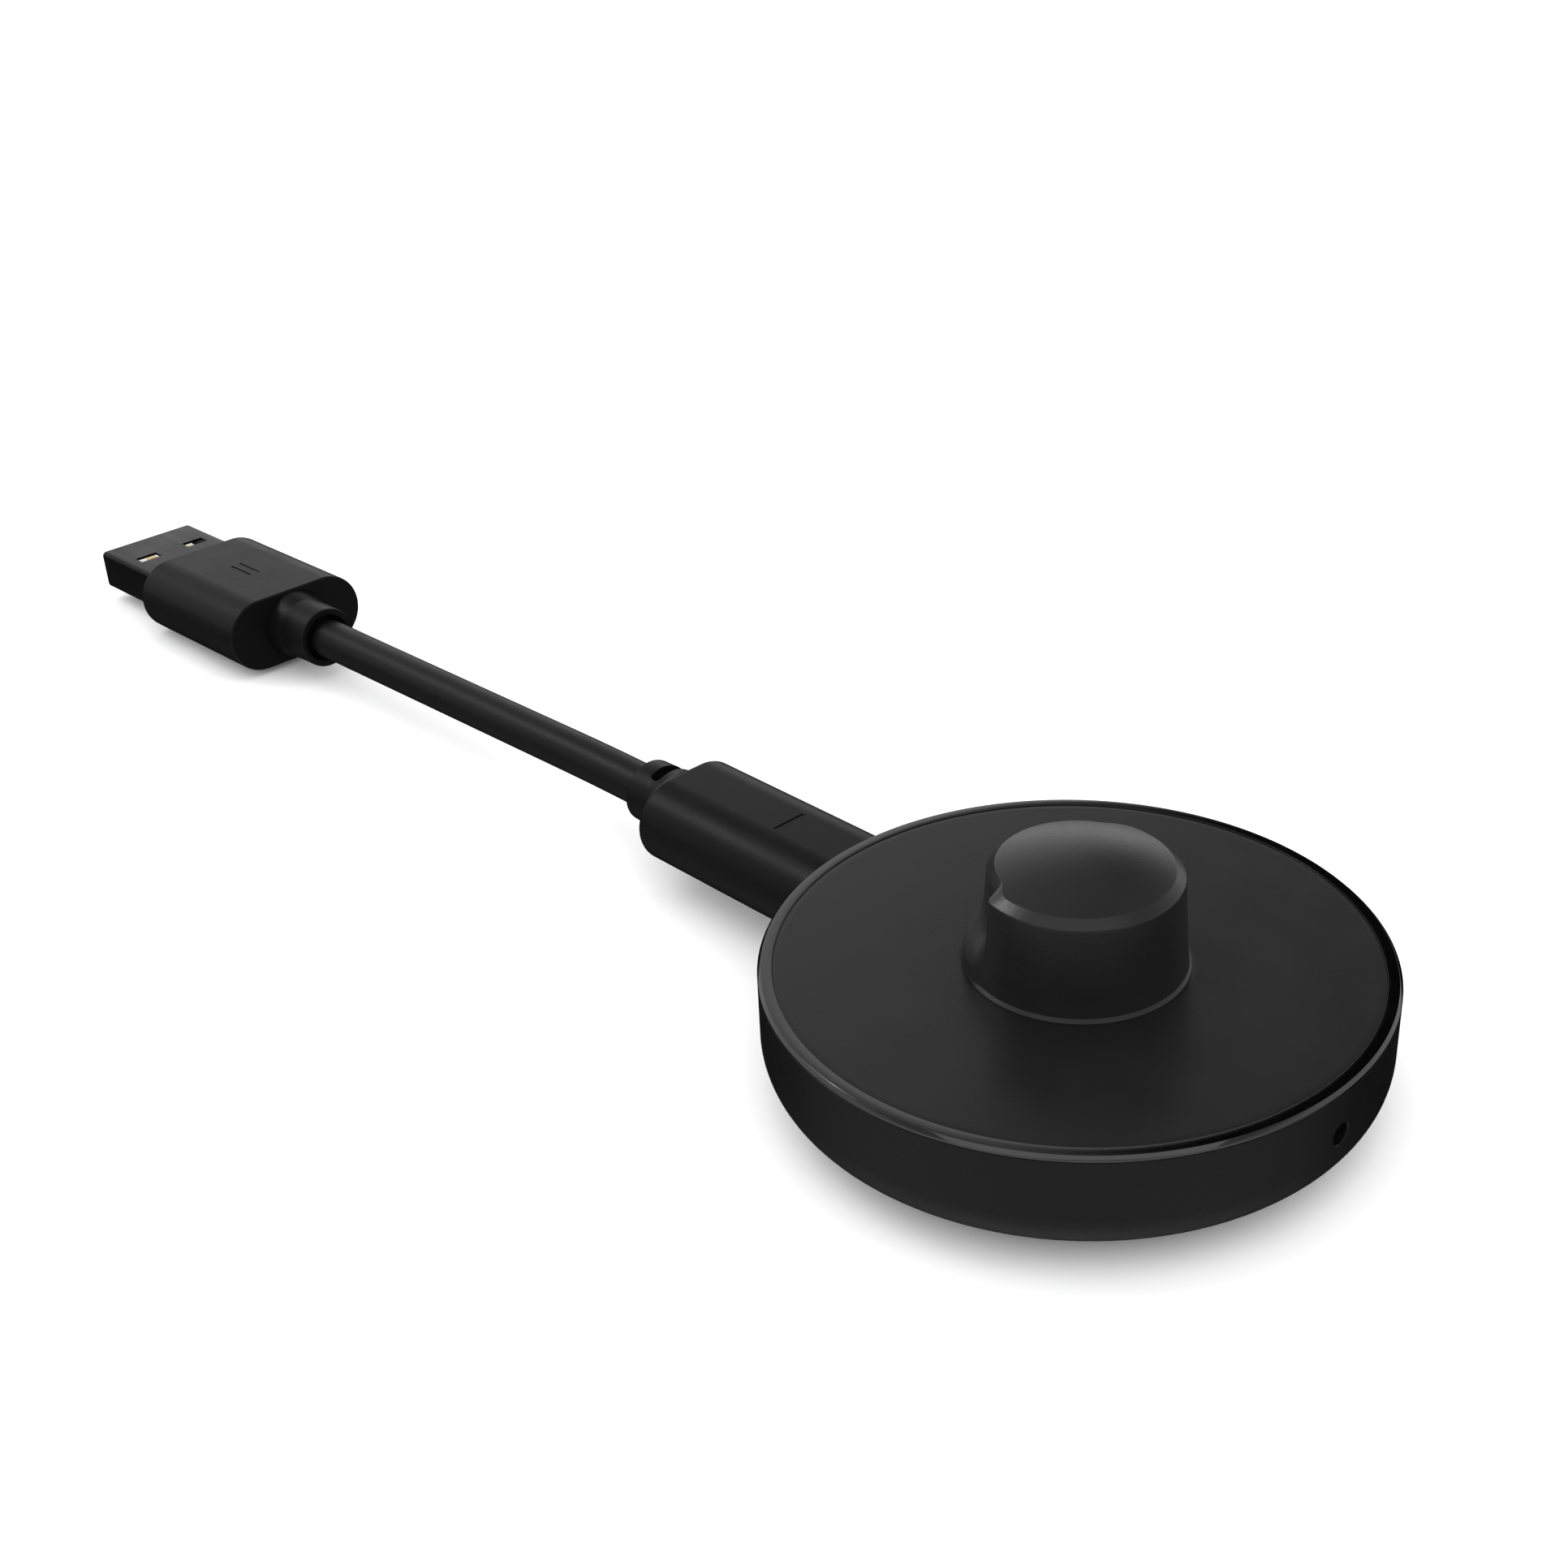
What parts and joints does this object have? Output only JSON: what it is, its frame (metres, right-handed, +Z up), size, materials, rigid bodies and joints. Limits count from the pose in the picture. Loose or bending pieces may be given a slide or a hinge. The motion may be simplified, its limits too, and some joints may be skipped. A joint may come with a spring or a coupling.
{
  "type": "round charging dock",
  "caption": "Low round dock with a keyed centre post on a recessed plate and a short plug-in USB lead.",
  "frame": {"origin": "centre of the dock's footprint, on the surface that it stands on", "axes": "+Z up along the post, +Y along the lead away from the dock, +X to the right of the lead"},
  "size_m": [0.052, 0.1745, 0.0213],
  "materials": {
    "matte_black": "fine matte moulded texture",
    "gloss_black": "polished",
    "satin_black": "satin",
    "post_black": "smooth satin",
    "black_rubber": "matte",
    "soft_black": "soft-touch overmould",
    "cable_black": "satin jacket",
    "black_steel": "satin black coating",
    "steel": "satin",
    "gold": "gold-plated",
    "white_plastic": "moulded",
    "insulator_black": "moulded",
    "bobbin_plastic": "moulded",
    "ferrite_grey": "sintered",
    "copper": "enamelled copper wire",
    "board_green": "solder mask over fibreglass",
    "chip_black": "moulded",
    "ceramic_tan": "sintered",
    "lens_clear": "clear"
  },
  "bodies": {
    "dock": {"base_shell": "matte_black", "trim_ring": "gloss_black", "top_plate": "satin_black", "charging_post": "post_black", "rubber_foot": "black_rubber", "coil_bobbin": "bobbin_plastic", "ferrite_core": "ferrite_grey", "charging_coil": "copper", "circuit_board": "board_green", "board_screw_1": "steel", "board_screw_2": "steel", "board_screw_3": "steel", "charge_controller": "chip_black", "power_inductor": "ferrite_grey", "input_capacitor": "ceramic_tan", "output_capacitor": "ceramic_tan", "indicator_led": "lens_clear", "light_pipe": "lens_clear", "socket_shell": "steel", "socket_tongue": "insulator_black"},
    "lead": {"plug_body": "soft_black", "plug_shell": "steel", "plug_insert": "insulator_black", "plug_strain_relief": "soft_black", "lead_cable": "cable_black", "usb_strain_relief": "soft_black", "usb_body": "soft_black", "usb_shell": "black_steel", "usb_tongue": "white_plastic", "usb_contact_1": "gold", "usb_contact_2": "gold", "usb_contact_3": "gold", "usb_contact_4": "gold"}
  },
  "joints": [
    {"name": "plug_pull", "type": "slide", "parent": "dock", "child": "lead", "axis": [0, 1, 0], "range_m": [0, 0.008]}
  ]
}
